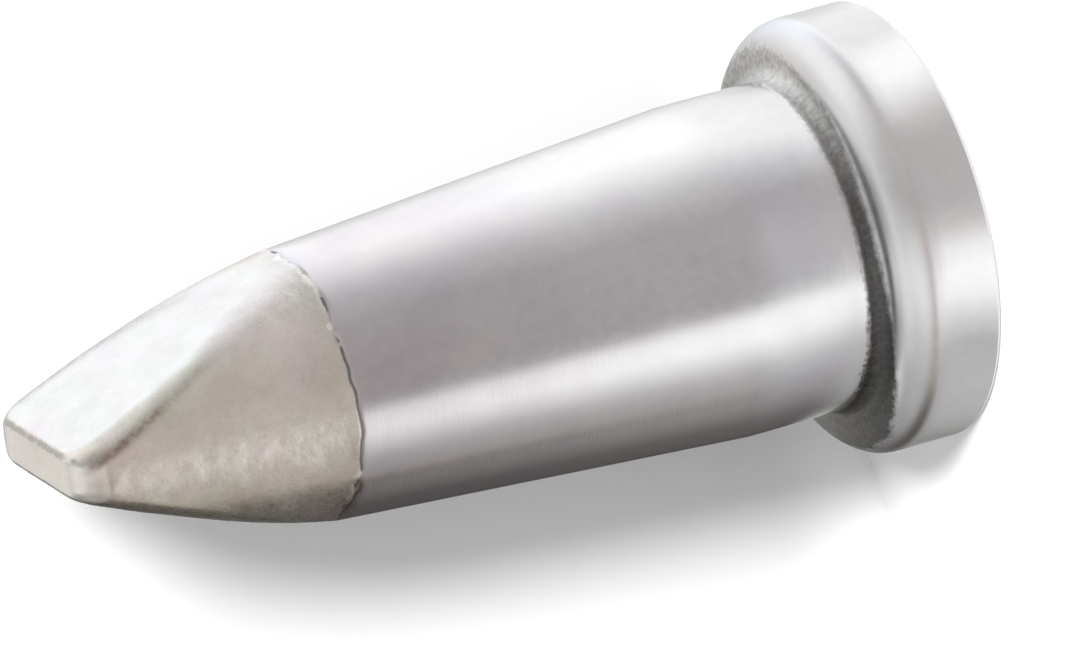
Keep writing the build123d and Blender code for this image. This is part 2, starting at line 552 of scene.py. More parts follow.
def grid_mesh(name, points):
    """A closed mesh from rows of points round the axis, with its first and last row drawn
    together to one point each. Columns run anticlockwise seen from +Z. Also gives the row
    of each face."""
    rows, columns = points.shape[:2]
    body = points[1:-1].reshape(-1, 3)
    vertices = np.concatenate([points[0].mean(0)[None], body, points[-1].mean(0)[None]])
    last = len(vertices) - 1
    here = np.arange(columns)
    after = (here + 1) % columns
    inner = np.arange(rows - 3)[:, None] * columns + 1
    quads = np.stack([
        inner + here, inner + after, inner + columns + after, inner + columns + here,
    ], -1).reshape(-1, 4)
    first_fan = np.stack([np.zeros(columns, int), 1 + after, 1 + here], -1)
    top = 1 + (rows - 3) * columns
    last_fan = np.stack([top + here, top + after, np.full(columns, last)], -1)
    corners = np.concatenate([quads.ravel(), first_fan.ravel(), last_fan.ravel()])
    sizes = np.concatenate([
        np.full(len(quads), 4), np.full(len(first_fan), 3), np.full(len(last_fan), 3),
    ])
    face_rows = np.concatenate([
        np.repeat(np.arange(1, rows - 2), columns),
        np.zeros(columns, int),
        np.full(columns, rows - 2),
    ])
    starts = np.concatenate([[0], np.cumsum(sizes)[:-1]])
    mesh = bpy.data.meshes.new(name)
    mesh.vertices.add(len(vertices))
    mesh.vertices.foreach_set("co", (vertices * MM).astype(np.float32).ravel())
    mesh.loops.add(len(corners))
    mesh.loops.foreach_set("vertex_index", corners.astype(np.int32))
    mesh.polygons.add(len(sizes))
    mesh.polygons.foreach_set("loop_start", starts.astype(np.int32))
    mesh.polygons.foreach_set("use_smooth", np.ones(len(sizes), bool))
    mesh.update(calc_edges=True)
    mesh.validate()
    return mesh, face_rows


def add_value(mesh, name, grid):
    """A number for each vertex, in the order of grid_mesh, which a material reads."""
    values = np.concatenate([[grid[0].mean()], grid[1:-1].ravel(), [grid[-1].mean()]])
    layer = mesh.attributes.new(name, "FLOAT", "POINT")
    layer.data.foreach_set("value", values.astype(np.float32))


def make_tip(finishes):
    """The tip's one mesh, with its three finishes: bore, plating and tin."""
    points, values, mouth_row, seam_row = tip_surface()
    mesh, face_rows = grid_mesh("tip_surface", points)
    for name, grid in values.items():
        add_value(mesh, name, grid)
    for finish in finishes:
        mesh.materials.append(finish)
    finish_of = (face_rows >= mouth_row).astype(np.int32) + (face_rows >= seam_row)
    mesh.polygons.foreach_set("material_index", finish_of.astype(np.int32))
    piece = bpy.data.objects.new("tip_surface", mesh)
    bpy.context.scene.collection.objects.link(piece)
    return piece


# Soft patches of the finishes: size, fineness and contrast
BROAD_PLATING = (1.1, 0.5, 2.4)
FINE_PLATING = (0.22, 0.6, 1.8)
SPECKLE = (0.12, 0.6, 1.9)
STREAKS = (0.16, 0.6, 2.0)
STREAK_DRAW = (0.35, 0.35, 3.0)  # they are drawn out across the axis
BROAD_TIN = (0.7, 0.55, 2.2)
FINE_TIN = (0.16, 0.65, 2.2)
TIN_TINT = (0.9, 0.4, 2.5)
TIN_TINT_PLACE = (7.0, 3.0, 5.0)  # it is taken from another place than the broad patches
BORE_PATCHES = (0.8, 0.6, 2.0)

# Turning marks: spacing of the rings, and how they are drawn out round the axis
PLATING_RINGS = 0.05
BORE_RINGS = 0.12
TURNING_DRAW = (0.12, 0.12, 1.0)

# Dirt of the seam's groove and pits, and the pale tin of its beads, with painted glints
SEAM_DIRT = (0.22, 0.215, 0.215, 1)
PALE_TIN_AND_GLINT = (0.93, 0.92, 0.90, 1)
PALE_SHARE = 0.8
SEAM_GRAIN = 11.0                # scale of the fine noise that makes both uneven
GROOVE_REACH = 0.022             # how far the dark part reaches where the groove is strong
GROOVE_UNEVEN = 0.018            # how much the noise moves its edge
GROOVE_EDGE = (0.028, -0.014)    # past that reach, where it fades out and where it is full
GROOVE_STRENGTH = (0.1, 0.8)     # strengths between which the groove turns dark
TONE_GRAIN = 0.9                 # how much the noise moves the tone
PIT_EDGE = (0.22, 0.75)          # tones between which a pit turns dark
BEAD_EDGE = (-0.25, -0.6)        # and a bead pale

# Bright plating. Here and below, two colours are those of the darker and lighter patches.
CLEAN_PLATING = ((0.785, 0.775, 0.785, 1), (0.83, 0.83, 0.835, 1))
HEATED_PLATING = ((0.63, 0.61, 0.645, 1), (0.70, 0.68, 0.69, 1))
HEAT_FADE = (4.5, 11.5)          # heights between which the heat's tint grows
PLATING_FLECKS = (0.5, 0.5, 0.5, 1)
PLATING_FLECK_SHARE = 0.10
PLATING_ROUGHNESS = 0.15
PLATING_ROUGHER = (0.05, 0.20, 0.3, 0.35)  # added by fine patches, front, dull band, dirt
FRONT_START = (0.3, 0.5)         # fade of both edges of the flange's less polished rounded
FRONT_END = (1.85, 1.35)         # front, measured from the dull band's start
RING_SHARE = 0.04                # height of the rings beside the grit of the dull band
PLATING_RELIEF = 0.012           # depth of both

# The dull band in the corner, which also carries painted shade
DULL_RAGGED = 0.12               # how ragged its edges are, as a share of its width
DULL_INNER = (-0.05, 0.09)       # fade of its edge on the shank
DULL_OUTER = (-0.08, 0.14)       # and on the flange
DULL_MOTTLE = ((0.72, 0.70, 0.69, 1), (1.25, 1.25, 1.20, 1))

# Dull tin
TIN = ((0.79, 0.75, 0.71, 1), (0.88, 0.85, 0.82, 1))
TIN_TINTS = ((0.96, 1.0, 0.95, 1), (1.0, 0.965, 0.985, 1))  # a greener and a redder one
TIN_FLECKS = (0.45, 0.45, 0.45, 1)
TIN_FLECK_SHARE = 0.11
TIN_AT_SEAM = (0.80, 0.79, 0.80, 1)
TIN_AT_SEAM_FADE = (0.9, 0.1)    # distances from the seam between which it darkens
TIN_AT_SEAM_SHARE = 0.5
TIN_METALLIC = 0.96
TIN_ROUGHNESS = 0.245
TIN_ROUGHER = 0.07               # what the fine patches add
TIN_FINE_RELIEF = 0.3            # height of the fine patches beside the broad ones
TIN_RELIEF = 0.006               # depth of both

# Stains and painted shade on the tin: colour and share
RESIDUE_AND_SHADE = ((0.26, 0.20, 0.155, 1), 0.82)
END_LINE = ((0.27, 0.26, 0.25, 1), 0.6)
SPOTS_AND_SHADE = ((0.26, 0.21, 0.155, 1), 0.75)
STAIN_GRAIN = (1.1, 0.35)        # what the fine patches add to a stain, and the rest of it
END_LINE_EDGE = (0.12, 0.75)     # strengths between which the end line shows

# Browned wall of the bore
BORE = ((0.34, 0.29, 0.26, 1), (0.52, 0.48, 0.45, 1))
BORE_ROUGHNESS = 0.38
BORE_RELIEF = 0.01

WHITE = (1, 1, 1, 1)


def feed(tree, made, inputs):
    """Gives a node's sockets, by name or number, a value or the output that feeds them."""
    for name, value in inputs.items():
        if isinstance(value, bpy.types.NodeSocket):
            tree.links.new(value, made.inputs[name])
        else:
            made.inputs[name].default_value = value


def node(tree, kind, inputs=None, **settings):
    """A shader node, with its settings and then its sockets filled in."""
    made = tree.nodes.new("ShaderNode" + kind)
    for name, value in settings.items():
        setattr(made, name, value)
    feed(tree, made, inputs or {})
    return made


def maths(tree, operation, first, second=0.0, third=0.0):
    """The result of one sum on two values or outputs, or three in a MULTIPLY_ADD."""
    made = node(tree, "Math", {0: first, 1: second, 2: third}, operation=operation)
    return made.outputs[0]


def ramp(tree, value, low, high, to_low=0.0, to_high=1.0):
    """An S curve from to_low at low to to_high at high."""
    return node(tree, "MapRange", {
        "Value": value, "From Min": low, "From Max": high, "To Min": to_low, "To Max": to_high,
    }, interpolation_type="SMOOTHSTEP").outputs["Result"]


def scaled(tree, vector, factor):
    """A vector or colour times a number."""
    return node(tree, "VectorMath", {0: vector, "Scale": factor}, operation="SCALE").outputs[0]


def stretched(tree, vector, factors):
    """A vector times another, part by part."""
    return node(tree, "VectorMath", {0: vector, 1: factors}, operation="MULTIPLY").outputs[0]


def mix(tree, share, first, second, blend="MIX"):
    """Two colours, or outputs, mixed by a share."""
    made = node(tree, "Mix", {0: share, 6: first, 7: second}, data_type="RGBA", blend_type=blend)
    return made.outputs[2]


def effect(name, inputs, outputs):
    """An empty node group with named sockets, and its two end nodes."""
    group = bpy.data.node_groups.new(name, "ShaderNodeTree")
    for socket, kind in inputs:
        group.interface.new_socket(socket, in_out="INPUT", socket_type="NodeSocket" + kind)
    for socket, kind in outputs:
        group.interface.new_socket(socket, in_out="OUTPUT", socket_type="NodeSocket" + kind)
    return group, group.nodes.new("NodeGroupInput"), group.nodes.new("NodeGroupOutput")


def place_effect(tree, group, inputs):
    """An effect put to use in a material, with its own values."""
    return node(tree, "Group", inputs, node_tree=group).outputs


def patches_effect():
    """Soft patches, whose size is given in millimetres, between 0 and 1."""
    group, start, end = effect(
        "soft_patches",
        [("Place", "Vector"), ("Size", "Float"), ("Fineness", "Float"), ("Contrast", "Float")],
        [("Patches", "Float")],
    )
    scale = maths(group, "DIVIDE", 1.0, start.outputs["Size"])
    noise = node(group, "TexNoise", {
        "Vector": start.outputs["Place"], "Scale": scale, "Detail": 3.0,
        "Roughness": start.outputs["Fineness"],
    })
    centred = maths(group, "SUBTRACT", noise.outputs["Fac"], 0.5)
    spread = maths(group, "MULTIPLY", centred, start.outputs["Contrast"])
    level = node(group, "Math", {0: spread, 1: 0.5}, operation="ADD", use_clamp=True)
    group.links.new(level.outputs[0], end.inputs["Patches"])
    return group


def seam_effect():
    """Dirt in the seam's groove and pits, and its beads' pale tin and painted glints, as two
    masks.

    The groove is dark as far from the seam as its strength says, which a fine noise makes
    uneven. The same noise moves the tone, which is dark or pale past its edges.
    """
    group, start, end = effect(
        "seam_dirt",
        [("Place", "Vector"), ("Ahead", "Float"), ("Tone", "Float"), ("Strength", "Float")],
        [("Dark", "Float"), ("Pale", "Float")],
    )
    grain = node(group, "TexNoise", {
        "Vector": start.outputs["Place"], "Scale": SEAM_GRAIN, "Detail": 2.0,
    })
    grain_level = maths(group, "SUBTRACT", grain.outputs["Fac"], 0.5)
    strength = start.outputs["Strength"]
    reach = maths(group, "MULTIPLY", strength, GROOVE_REACH)
    uneven = maths(group, "ADD", reach, maths(group, "MULTIPLY", grain_level, GROOVE_UNEVEN))
    past = maths(group, "SUBTRACT", maths(group, "ABSOLUTE", start.outputs["Ahead"]), uneven)
    groove = ramp(group, past, *GROOVE_EDGE)
    groove = maths(group, "MULTIPLY", groove, ramp(group, strength, *GROOVE_STRENGTH))
    toned = maths(group, "MULTIPLY_ADD", grain_level, TONE_GRAIN, start.outputs["Tone"])
    dark = maths(group, "MAXIMUM", groove, ramp(group, toned, *PIT_EDGE))
    pale = ramp(group, toned, *BEAD_EDGE)
    group.links.new(dark, end.inputs["Dark"])
    group.links.new(pale, end.inputs["Pale"])
    return group


def turning_effect():
    """Height of fine turning marks: rings round the axis, drawn out along the way round."""
    group, start, end = effect(
        "turning_marks",
        [("Place", "Vector"), ("Pitch", "Float")],
        [("Height", "Float")],
    )
    noise = node(group, "TexNoise", {
        "Vector": stretched(group, start.outputs["Place"], TURNING_DRAW),
        "Scale": maths(group, "DIVIDE", 1.0, start.outputs["Pitch"]), "Detail": 2.0,
    })
    group.links.new(noise.outputs["Fac"], end.inputs["Height"])
    return group


def finish(name, metallic):
    """A new material, its tree, its shader, and the place on the surface in millimetres."""
    material = bpy.data.materials.new(name)
    material.use_nodes = True
    tree = material.node_tree
    shader = tree.nodes["Principled BSDF"]
    shader.inputs["Metallic"].default_value = metallic
    place = scaled(tree, node(tree, "TexCoord").outputs["Object"], 1 / MM)
    return material, tree, shader, place


def read_value(tree, name):
    """A number that the mesh carries at each vertex."""
    return node(tree, "Attribute", attribute_name=name).outputs["Fac"]


def patches_at(tree, patches, place, kind):
    """Soft patches of a kind, which is their size, fineness and contrast, from 0 to 1."""
    size, fineness, contrast = kind
    return place_effect(tree, patches, {
        "Place": place, "Size": size, "Fineness": fineness, "Contrast": contrast,
    })["Patches"]


def flecked(tree, colour, share, fine, flecks):
    """A colour, darkened by a share of the flecks' grey between the fine patches."""
    return mix(tree, share, colour, mix(tree, fine, flecks, WHITE), "MULTIPLY")


def bump(tree, height, depth):
    """A normal from a height between 0 and 1, which stands for a depth in millimetres."""
    made = node(tree, "Bump", {"Height": height, "Distance": depth * MM, "Strength": 1.0})
    return made.outputs["Normal"]


def seam_coloured(tree, place, dirt, colour):
    """A colour with the seam's dirt, and its pale beads with painted glints, and the mask of the
    dirt.
    """
    masks = place_effect(tree, dirt, {
        "Place": place,
        "Ahead": read_value(tree, "ahead_of_seam"),
        "Tone": read_value(tree, "seam_tone"),
        "Strength": read_value(tree, "seam_strength"),
    })
    colour = mix(tree, masks["Dark"], colour, SEAM_DIRT)
    # Beads are painted paler: pale tin, with painted glints
    pale = maths(tree, "MULTIPLY", masks["Pale"], PALE_SHARE)
    return mix(tree, pale, colour, PALE_TIN_AND_GLINT), masks["Dark"]


def plating_finish(patches, dirt, marks):
    """Bright satin plating, tinted by heat towards the seam, and dull in the corner in
    front of the flange, where polishing doesn't reach, with painted shade there too."""
    material, tree, shader, place = finish("bright_plating", 1.0)
    broad = patches_at(tree, patches, place, BROAD_PLATING)
    fine = patches_at(tree, patches, place, FINE_PLATING)
    height = node(tree, "SeparateXYZ", {0: place}).outputs["Z"]
    heat = ramp(tree, height, *HEAT_FADE)
    clean = mix(tree, broad, *CLEAN_PLATING)
    colour = mix(tree, heat, clean, mix(tree, broad, *HEATED_PLATING))
    colour = flecked(tree, colour, PLATING_FLECK_SHARE, fine, PLATING_FLECKS)

    # The dull band runs from 0 to 1 across its width, moved to and fro by fine patches
    speckle = patches_at(tree, patches, place, SPECKLE)
    streaks = patches_at(tree, patches, stretched(tree, place, STREAK_DRAW), STREAKS)
    ragged = maths(tree, "SUBTRACT", maths(tree, "ADD", speckle, streaks), 1.0)
    across = maths(tree, "MULTIPLY_ADD", ragged, DULL_RAGGED, read_value(tree, "dull_corner"))
    width = read_value(tree, "dull_width")
    past_start = maths(tree, "MULTIPLY", across, width)
    before_end = maths(tree, "MULTIPLY", maths(tree, "SUBTRACT", 1.0, across), width)
    inner = ramp(tree, past_start, *DULL_INNER)
    dull = maths(tree, "MULTIPLY", inner, ramp(tree, before_end, *DULL_OUTER))
    mottle = mix(tree, speckle, *DULL_MOTTLE)
    # The dull band's colour: its metal darkened by its tone, which is painted shade
    colour = mix(tree, dull, colour, scaled(tree, mottle, read_value(tree, "dull_painted_shade_tone")))

    colour, dark = seam_coloured(tree, place, dirt, colour)
    tree.links.new(colour, shader.inputs["Base Color"])
    front_start = ramp(tree, past_start, *FRONT_START)
    front = maths(tree, "MULTIPLY", front_start, ramp(tree, past_start, *FRONT_END))
    rough = PLATING_ROUGHNESS
    for mask, more in zip((fine, front, dull, dark), PLATING_ROUGHER):
        rough = maths(tree, "MULTIPLY_ADD", mask, more, rough)
    tree.links.new(rough, shader.inputs["Roughness"])
    rings = place_effect(tree, marks, {"Place": place, "Pitch": PLATING_RINGS})["Height"]
    grit = maths(tree, "MULTIPLY", speckle, dull)
    relief = maths(tree, "MULTIPLY_ADD", rings, RING_SHARE, grit)
    tree.links.new(bump(tree, relief, PLATING_RELIEF), shader.inputs["Normal"])
    return material


def tin_finish(patches, dirt):
    """Dull tinned working end: soft warm grey mottling, with flux residue and painted shade
    under the ridges, a fine dark line along the edges of the end face, and painted shade over
    the blade's corner."""
    material, tree, shader, place = finish("dull_tin", TIN_METALLIC)
    broad = patches_at(tree, patches, place, BROAD_TIN)
    fine = patches_at(tree, patches, place, FINE_TIN)
    moved = node(tree, "VectorMath", {0: place, 1: TIN_TINT_PLACE}).outputs[0]
    tinted = mix(tree, patches_at(tree, patches, moved, TIN_TINT), *TIN_TINTS)
    colour = flecked(tree, mix(tree, broad, *TIN), TIN_FLECK_SHARE, fine, TIN_FLECKS)
    colour = mix(tree, 1.0, colour, tinted, "MULTIPLY")
    ahead = read_value(tree, "ahead_of_seam")
    at_seam = ramp(tree, ahead, *TIN_AT_SEAM_FADE, 0.0, TIN_AT_SEAM_SHARE)
    colour = mix(tree, at_seam, colour, TIN_AT_SEAM, "MULTIPLY")

    grain = maths(tree, "MULTIPLY_ADD", fine, *STAIN_GRAIN)
    # Residue under the ridges, with painted shade along them
    residue = node(tree, "Math", {
        0: read_value(tree, "ridge_stain_and_shade"), 1: grain,
    }, operation="MULTIPLY", use_clamp=True).outputs[0]
    line = maths(tree, "MULTIPLY", read_value(tree, "end_line"), grain)
    line = ramp(tree, line, *END_LINE_EDGE)
    # Dark marks near the blade's corner, one of them a broad painted shade
    spots_and_shade = read_value(tree, "corner_spots_and_shade")
    for mask, (stain, share) in ((residue, RESIDUE_AND_SHADE), (line, END_LINE), (spots_and_shade, SPOTS_AND_SHADE)):
        colour = mix(tree, maths(tree, "MULTIPLY", mask, share), colour, stain)
    colour, _ = seam_coloured(tree, place, dirt, colour)
    tree.links.new(colour, shader.inputs["Base Color"])
    rough = maths(tree, "MULTIPLY_ADD", fine, TIN_ROUGHER, TIN_ROUGHNESS)
    tree.links.new(rough, shader.inputs["Roughness"])
    height = maths(tree, "MULTIPLY_ADD", fine, TIN_FINE_RELIEF, broad)
    tree.links.new(bump(tree, height, TIN_RELIEF), shader.inputs["Normal"])
    return material


def bore_finish(patches, marks):
    """Plain drilled wall of the bore, browned by the heater."""
    material, tree, shader, place = finish("drilled_bore", 1.0)
    soft = patches_at(tree, patches, place, BORE_PATCHES)
    tree.links.new(mix(tree, soft, *BORE), shader.inputs["Base Color"])
    shader.inputs["Roughness"].default_value = BORE_ROUGHNESS
    rings = place_effect(tree, marks, {"Place": place, "Pitch": BORE_RINGS})["Height"]
    tree.links.new(bump(tree, rings, BORE_RELIEF), shader.inputs["Normal"])
    return material


def camera_axes():
    """Right, up and back of the camera in the tip's own axes, and the lens's place.

    The axis's direction, one direction across it in the frame and one towards the lens are
    written in the camera's axes (right, down, forward). The blade's turn gives the tip's X
    and Y from the last two, and the transpose of the three turns camera axes into the
    tip's.
    """
    axis = Vector((
        -cos(AXIS_ROLL) * cos(AXIS_LEAN),
        sin(AXIS_ROLL) * cos(AXIS_LEAN),
        -sin(AXIS_LEAN),
    ))
    across = Vector((sin(AXIS_ROLL), cos(AXIS_ROLL), 0))
    towards = axis.cross(across)
    blade = across * cos(BLADE_TURN) + towards * sin(BLADE_TURN)
    thin = towards * cos(BLADE_TURN) - across * sin(BLADE_TURN)
    turn = Matrix((blade, thin, axis))
    centre = Vector((FLANGE_RIGHT, -FLANGE_ABOVE, CAMERA_DISTANCE))
    place = -(turn @ centre) * MM
    right = turn @ Vector((1, 0, 0))
    up = turn @ Vector((0, -1, 0))
    back = turn @ Vector((0, 0, -1))
    return right, up, back, place


def make_camera():
    """The camera, which sees the tip as the photograph does."""
    right, up, back, place = camera_axes()
    data = bpy.data.cameras.new("camera")
    data.sensor_width = SENSOR_WIDTH
    data.lens = FOCAL_LENGTH * SENSOR_WIDTH / FRAME_WIDTH
    data.clip_start = 0.01
    data.clip_end = 10
    camera = bpy.data.objects.new("camera", data)
    frame_turn = Matrix((right, up, back)).transposed()
    camera.matrix_world = Matrix.Translation(place) @ frame_turn.to_4x4()
    bpy.context.scene.collection.objects.link(camera)
    bpy.context.scene.camera = camera


def make_sheet(name, corners, lightness):
    """A large flat sheet of paper, which the metal doesn't mirror: the strips of the
    studio stand in its place. Its lightness goes from the floor's, at its foot, to its
    own, and a camera behind it looks through it."""
    mesh = bpy.data.meshes.new(name)
    mesh.from_pydata(corners, [], [(0, 1, 2, 3)])
    sheet = bpy.data.objects.new(name, mesh)
    material = bpy.data.materials.new(name + "_paper")
    material.use_nodes = True
    tree = material.node_tree
    shader = tree.nodes["Principled BSDF"]
    height = node(tree, "SeparateXYZ", {
        0: node(tree, "TexCoord").outputs["Object"],
    }).outputs["Z"]
    shade = ramp(tree, height, 0.0, BACKDROP_FADE * MM, FLOOR_LIGHTNESS, lightness)
    tree.links.new(shade, shader.inputs["Base Color"])
    shader.inputs["Roughness"].default_value = 1.0
    shader.inputs["Specular IOR Level"].default_value = 0.0
    behind = maths(
        tree, "MULTIPLY",
        node(tree, "NewGeometry").outputs["Backfacing"],
        node(tree, "LightPath").outputs["Is Camera Ray"],
    )
    clear = node(tree, "BsdfTransparent")
    surface = node(tree, "MixShader", {0: behind, 1: shader.outputs[0], 2: clear.outputs[0]})
    tree.links.new(surface.outputs[0], tree.nodes["Material Output"].inputs["Surface"])
    mesh.materials.append(material)
    sheet.visible_glossy = False
    bpy.context.scene.collection.objects.link(sheet)
    return sheet


def make_sheets():
    """The floor that the tip stands on, and an upright backdrop close behind the tip, which
    takes its soft shadow. They meet in one line."""
    half = SHEET_HALF_SIZE * MM
    towards = Vector((cos(CAMERA_SIDE), sin(CAMERA_SIDE), 0))
    along = Vector((-sin(CAMERA_SIDE), cos(CAMERA_SIDE), 0)) * half
    foot = -towards * BACKDROP_BEHIND * MM
    front = foot + towards * half
    top = foot + Vector((0, 0, half))
    floor = [foot + along, foot - along, front - along, front + along]
    backdrop = [foot - along, foot + along, top + along, top - along]
    return [
        make_sheet("floor", floor, FLOOR_LIGHTNESS),
        make_sheet("backdrop", backdrop, BACKDROP_LIGHTNESS),
    ]


# Light that the parallel land mirrors, from well below the horizon: way round in degrees,
# and its red, green and blue, or one number where they are equal
LOWEST_LIGHT = (
    (-180, 0.35),
    (-168, 0.70),
    (-155, 0.92),
    (-140, 1.12),
    (-105, (1.16, 1.16, 1.17)),
    (-84, (1.08, 1.08, 1.09)),
    (-60, (0.67, 0.66, 0.68)),
    (-40, (0.48, 0.47, 0.485)),
    (-25, (0.52, 0.505, 0.525)),
    (0, (0.585, 0.57, 0.59)),
    (21, (0.55, 0.54, 0.56)),
    (29, (0.70, 0.69, 0.70)),
    (38, (1.16, 1.16, 1.17)),
    (50, (1.18, 1.18, 1.19)),
    (60, (1.10, 1.10, 1.11)),
    (80, (0.64, 0.635, 0.65)),
    (98, (0.44, 0.43, 0.445)),
    (118, (0.28, 0.27, 0.27)),
    (134, (0.17, 0.16, 0.16)),
    (170, (0.08, 0.072, 0.07)),
    (180, 0.35),
)

# Light from just below the horizon, which the shank's taper mirrors
LOW_LIGHT = (
    (-180, 0.35),
    (-168, 0.72),
    (-155, 1.00),
    (-140, 1.50),
    (-105, 1.52),
    (-84, (1.20, 1.19, 1.19)),
    (-72, (0.93, 0.92, 0.93)),
    (-58, (0.68, 0.67, 0.68)),
    (-36, (0.44, 0.425, 0.435)),
    (22, (0.40, 0.385, 0.395)),
    (30, (0.48, 0.47, 0.48)),
    (40, 1.30),
    (53, (1.38, 1.38, 1.37)),
    (75, (0.60, 0.595, 0.58)),
    (88, (0.42, 0.41, 0.40)),
    (108, (0.43, 0.41, 0.40)),
    (118, (0.28, 0.262, 0.25)),
    (134, (0.095, 0.082, 0.077)),
    (170, (0.045, 0.036, 0.033)),
    (180, 0.35),
)

# Light from just above the horizon, which the flats and the cone mirror
HIGH_LIGHT = (
    (-180, (0.35, 0.36, 0.37)),
    (-165, (0.60, 0.62, 0.64)),
    (-150, (1.10, 1.16, 1.24)),
    (-122, (1.26, 1.33, 1.43)),
    (-108, (0.98, 1.01, 1.07)),
    (-94, (0.70, 0.70, 0.71)),
    (-80, (0.58, 0.56, 0.56)),
    (-62, (0.54, 0.515, 0.51)),
    (-42, (0.63, 0.585, 0.56)),
    (0, (0.52, 0.455, 0.42)),
    (12, (0.57, 0.50, 0.455)),
    (38, (0.47, 0.41, 0.37)),
    (62, (0.35, 0.305, 0.26)),
    (83, (0.44, 0.385, 0.315)),
    (93, (0.44, 0.385, 0.315)),
    (101, (0.07, 0.055, 0.04)),
    (122, (0.055, 0.04, 0.028)),
    (150, (0.05, 0.045, 0.04)),
    (180, (0.35, 0.36, 0.37)),
)

# Light from higher up, which the flange's rounded front and the ridges mirror
UPPER_LIGHT = (
    (-180, 0.60),
    (-165, 0.80),
    (-150, 1.00),
    (-125, 1.15),
    (-96, 1.15),
    (-78, 1.05),
    (-60, (0.80, 0.79, 0.78)),
    (-42, (0.57, 0.56, 0.55)),
    (-20, (0.47, 0.455, 0.455)),
    (0, (0.46, 0.445, 0.445)),
    (16, (0.75, 0.74, 0.74)),
    (30, 1.05),
    (45, 1.15),
    (57, 0.95),
    (70, 0.70),
    (80, 0.59),
    (100, 0.52),
    (120, 0.47),
    (136, (0.30, 0.295, 0.29)),
    (150, (0.15, 0.145, 0.14)),
    (165, (0.12, 0.115, 0.11)),
    (180, 0.60),
)

# Light from high up, which the round corners of the blade mirror too
HIGHEST_LIGHT = (
    (-180, 0.60),
    (-147, 0.75),
    (-100, 0.90),
    (-60, 0.60),
    (0, (0.46, 0.45, 0.45)),
    (32, 0.80),
    (58, 1.05),
    (109, 0.98),
    (147, 1.05),
    (165, 0.80),
    (180, 0.60),
)
LAND_BAND = (-22, -14)           # degrees over which the lowest light gives way to the low
HORIZON = (-13.5, -9.5)          # the low light to the high
UPPER_BAND = (7, 15)             # the high light to the upper
TOP = (50, 64)                   # and the upper light to the highest

# Some belts start this much lower on the lower side: degrees, and the ways round over which
# the step comes
NO_STEP = (0, -1, 1)
HORIZON_STEP = (4.5, 84, 98)
UPPER_STEP = (6, 4, 18)

# Soft round light that the end face mirrors: its height and its edges in degrees
END_LIGHT = (0.86, 0.84, 0.815)
END_LIGHT_HEIGHT = radians(32)
END_LIGHT_EDGES = (36, 20)

# Round card under the tip, which the flange's rim mirrors
CARD_Z = -2.0
CARD_HALF_SIZE = 14.0
CARD_FADE = (13.3, 11.8)         # radii between which it fades out
CARD_MIDDLE = (5.8, 4.6)         # radii between which its plain middle ends
CARD_MIDDLE_LIGHT = (1.1, 1.1, 1.1, 1)
CARD_LIGHT = (
    (-180, 0.75),
    (-131, 0.80),
    (-112, 1.12),
    (-86, (1.03, 1.03, 1.04)),
    (-72, (1.23, 1.23, 1.24)),
    (-60, (1.26, 1.26, 1.27)),
    (-49, (1.01, 1.00, 0.99)),
    (-38, (0.70, 0.685, 0.67)),
    (-28, (0.575, 0.555, 0.545)),
    (0, (0.58, 0.55, 0.55)),
    (9, (0.72, 0.69, 0.68)),
    (19, (1.12, 1.11, 1.10)),
    (28, (1.27, 1.27, 1.26)),
    (38, 1.17),
    (49, 0.84),
    (60, (0.58, 0.57, 0.575)),
    (86, (0.60, 0.59, 0.595)),
    (104, 0.53),
    (120, (0.40, 0.40, 0.39)),
    (131, (0.28, 0.28, 0.27)),
    (180, 0.75),
)


def strip_colours(tree, way, stops):
    """The light by way round: straight lines between the stops."""
    brightest = max(np.max(light) for _, light in stops)
    share = node(tree, "MapRange", {
        "Value": way, "From Min": -pi, "From Max": pi, "To Min": 0.0, "To Max": 1.0,
    }).outputs["Result"]
    made = node(tree, "ValToRGB", {"Fac": share})
    elements = made.color_ramp.elements
    while len(elements) < len(stops):
        elements.new(0.5)
    for element, (degrees, light) in zip(elements, stops):
        element.position = (degrees + 180) / 360
        element.color = (*np.broadcast_to(light, 3) / brightest, 1)
    return scaled(tree, made.outputs["Color"], brightest)


def way_round(tree, place):
    """Way round from the camera's side of a place or direction, in radians, and the place
    turned so that its Y axis points there."""
    turned = node(tree, "Mapping", {"Vector": place, "Rotation": (0, 0, BLADE_TURN)})
    parts = node(tree, "SeparateXYZ", {0: turned.outputs["Vector"]}).outputs
    return maths(tree, "ARCTAN2", parts["X"], parts["Y"]), turned.outputs["Vector"], parts


